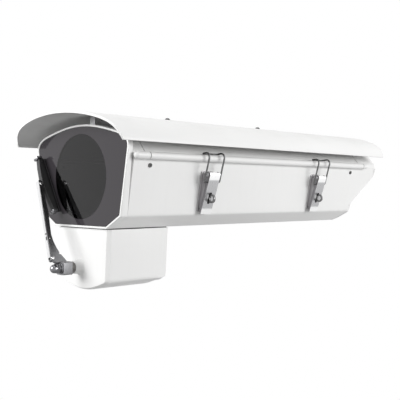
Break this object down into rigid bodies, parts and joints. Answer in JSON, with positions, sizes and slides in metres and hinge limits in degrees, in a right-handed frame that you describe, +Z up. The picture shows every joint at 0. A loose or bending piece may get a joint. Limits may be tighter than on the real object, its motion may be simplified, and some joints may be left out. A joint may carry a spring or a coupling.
{
  "type": "camera housing",
  "caption": "Long weatherproof camera housing: arched hinged lid, raised sunshield, side toggle latches, dark front window and a wiper driven from a box under the front.",
  "frame": {"origin": "middle of the bracket holes on the flat underside", "axes": "+Z up, +Y from the window to the rear, +X towards the latches"},
  "size_m": [0.1956, 0.5017, 0.1969],
  "materials": {
    "base_tray": "white powder coat",
    "front_frame": "white powder coat",
    "rear_cap": "white powder coat",
    "window_glass": "polished",
    "aperture_mask": "matt black",
    "window_seal": "matt",
    "lid": "white powder coat",
    "lid_seal": "matt",
    "sunshield": "white powder coat",
    "shield_rail": "mill finish",
    "rail_feet": "matt",
    "rail_screws": "turned",
    "shield_screws": "turned",
    "casting_screws": "turned",
    "hinge_tray_leaf_front": "white powder coat",
    "hinge_tray_leaf_rear": "white powder coat",
    "hinge_lid_leaf_front": "white powder coat",
    "hinge_lid_leaf_rear": "white powder coat",
    "hinge_pins": "drawn",
    "hinge_tray_screws": "turned",
    "hinge_lid_screws": "turned",
    "latch_base_front": "pressed",
    "latch_base_rear": "pressed",
    "latch_rivets": "domed",
    "padlock_staple_front": "pressed",
    "padlock_staple_rear": "pressed",
    "latch_pins": "drawn",
    "latch_lever_front": "pressed",
    "latch_lever_rear": "pressed",
    "latch_bail_front": "drawn wire",
    "latch_bail_rear": "drawn wire",
    "wiper_box": "white powder coat",
    "wiper_box_seal": "matt",
    "spindle_bush": "dull",
    "gearbox": "cast",
    "wiper_motor": "drawn can",
    "motor_screws": "turned",
    "spindle": "ground",
    "wiper_head": "cast",
    "head_washer": "stamped",
    "dome_nut": "polished",
    "arm_pin": "polished",
    "wiper_arm": "pressed and polished",
    "arm_spring": "coiled wire",
    "spring_pin": "drawn",
    "blade_pin": "polished",
    "blade_holder": "black",
    "blade_rubber": "matt",
    "blade_clips": "blackened",
    "mount_doubler": "mill finish",
    "camera_sled": "mill finish",
    "sled_posts": "turned",
    "inner_screws": "turned",
    "terminal_board": "board laminate",
    "board_posts": "turned",
    "terminal_block": "moulded",
    "window_heater": "black",
    "gland_bodies": "moulded",
    "gland_seals": "matt",
    "gland_caps": "moulded"
  },
  "bodies": {
    "housing": {"base_tray": "base_tray", "front_frame": "front_frame", "rear_cap": "rear_cap", "window_glass": "window_glass", "aperture_mask": "aperture_mask", "window_seal": "window_seal", "lid_seal": "lid_seal", "casting_screws": "casting_screws", "hinge_tray_leaf_front": "hinge_tray_leaf_front", "hinge_tray_leaf_rear": "hinge_tray_leaf_rear", "hinge_pins": "hinge_pins", "hinge_tray_screws": "hinge_tray_screws", "latch_base_front": "latch_base_front", "latch_base_rear": "latch_base_rear", "latch_rivets": "latch_rivets", "padlock_staple_front": "padlock_staple_front", "padlock_staple_rear": "padlock_staple_rear", "latch_pins": "latch_pins", "wiper_box": "wiper_box", "wiper_box_seal": "wiper_box_seal", "spindle_bush": "spindle_bush", "gearbox": "gearbox", "wiper_motor": "wiper_motor", "motor_screws": "motor_screws", "mount_doubler": "mount_doubler", "camera_sled": "camera_sled", "sled_posts": "sled_posts", "inner_screws": "inner_screws", "terminal_board": "terminal_board", "board_posts": "board_posts", "terminal_block": "terminal_block", "window_heater": "window_heater", "gland_bodies": "gland_bodies", "gland_seals": "gland_seals", "gland_caps": "gland_caps"},
    "lid_group": {"lid": "lid", "sunshield": "sunshield", "shield_rail": "shield_rail", "rail_feet": "rail_feet", "rail_screws": "rail_screws", "shield_screws": "shield_screws", "hinge_lid_leaf_front": "hinge_lid_leaf_front", "hinge_lid_leaf_rear": "hinge_lid_leaf_rear", "hinge_lid_screws": "hinge_lid_screws"},
    "lever_front": {"latch_lever_front": "latch_lever_front"},
    "lever_rear": {"latch_lever_rear": "latch_lever_rear"},
    "bail_front": {"latch_bail_front": "latch_bail_front"},
    "bail_rear": {"latch_bail_rear": "latch_bail_rear"},
    "wiper_hub": {"spindle": "spindle", "wiper_head": "wiper_head", "head_washer": "head_washer", "dome_nut": "dome_nut", "arm_pin": "arm_pin"},
    "arm": {"wiper_arm": "wiper_arm", "arm_spring": "arm_spring", "spring_pin": "spring_pin", "blade_pin": "blade_pin"},
    "blade": {"blade_holder": "blade_holder", "blade_rubber": "blade_rubber", "blade_clips": "blade_clips"}
  },
  "joints": [
    {"name": "lid_swing", "type": "hinge", "parent": "housing", "child": "lid_group", "pos_m": [-0.0935, 0, 0.0768], "axis": [0, -1, 0], "range_deg": [0, 78]},
    {"name": "lever_front_swing", "type": "hinge", "parent": "housing", "child": "lever_front", "pos_m": [0.088, -0.1125, 0.0585], "axis": [0, -1, 0], "range_deg": [0, 110]},
    {"name": "bail_front_swing", "type": "hinge", "parent": "lever_front", "child": "bail_front", "pos_m": [0.087, -0.1125, 0.04999], "axis": [0, -1, 0], "range_deg": [-165, 0]},
    {"name": "lever_rear_swing", "type": "hinge", "parent": "housing", "child": "lever_rear", "pos_m": [0.088, 0.091, 0.0585], "axis": [0, -1, 0], "range_deg": [0, 110]},
    {"name": "bail_rear_swing", "type": "hinge", "parent": "lever_rear", "child": "bail_rear", "pos_m": [0.087, 0.091, 0.04999], "axis": [0, -1, 0], "range_deg": [-165, 0]},
    {"name": "wiper_sweep", "type": "hinge", "parent": "housing", "child": "wiper_hub", "pos_m": [-0.0045, -0.23, -0.0436], "axis": [0, 1, 0], "range_deg": [0, 58]},
    {"name": "arm_lift", "type": "hinge", "parent": "wiper_hub", "child": "arm", "pos_m": [-0.01017, -0.2586, -0.03337], "axis": [0.8746, 0, 0.4848], "range_deg": [0, 35], "stiffness_Nm_per_rad": 0.15, "springref_deg": -34.38, "deforming": ["arm_spring"]},
    {"name": "blade_rock", "type": "hinge", "parent": "arm", "child": "blade", "pos_m": [-0.05443, -0.2452, 0.04649], "axis": [0.8746, 0, 0.4848], "range_deg": [-4, 4], "deforming": ["blade_rubber"]}
  ],
  "couplings": [
    {"joint": "bail_front_swing", "follows": "lever_front_swing", "ratio": -1.5},
    {"joint": "bail_rear_swing", "follows": "lever_rear_swing", "ratio": -1.5}
  ]
}
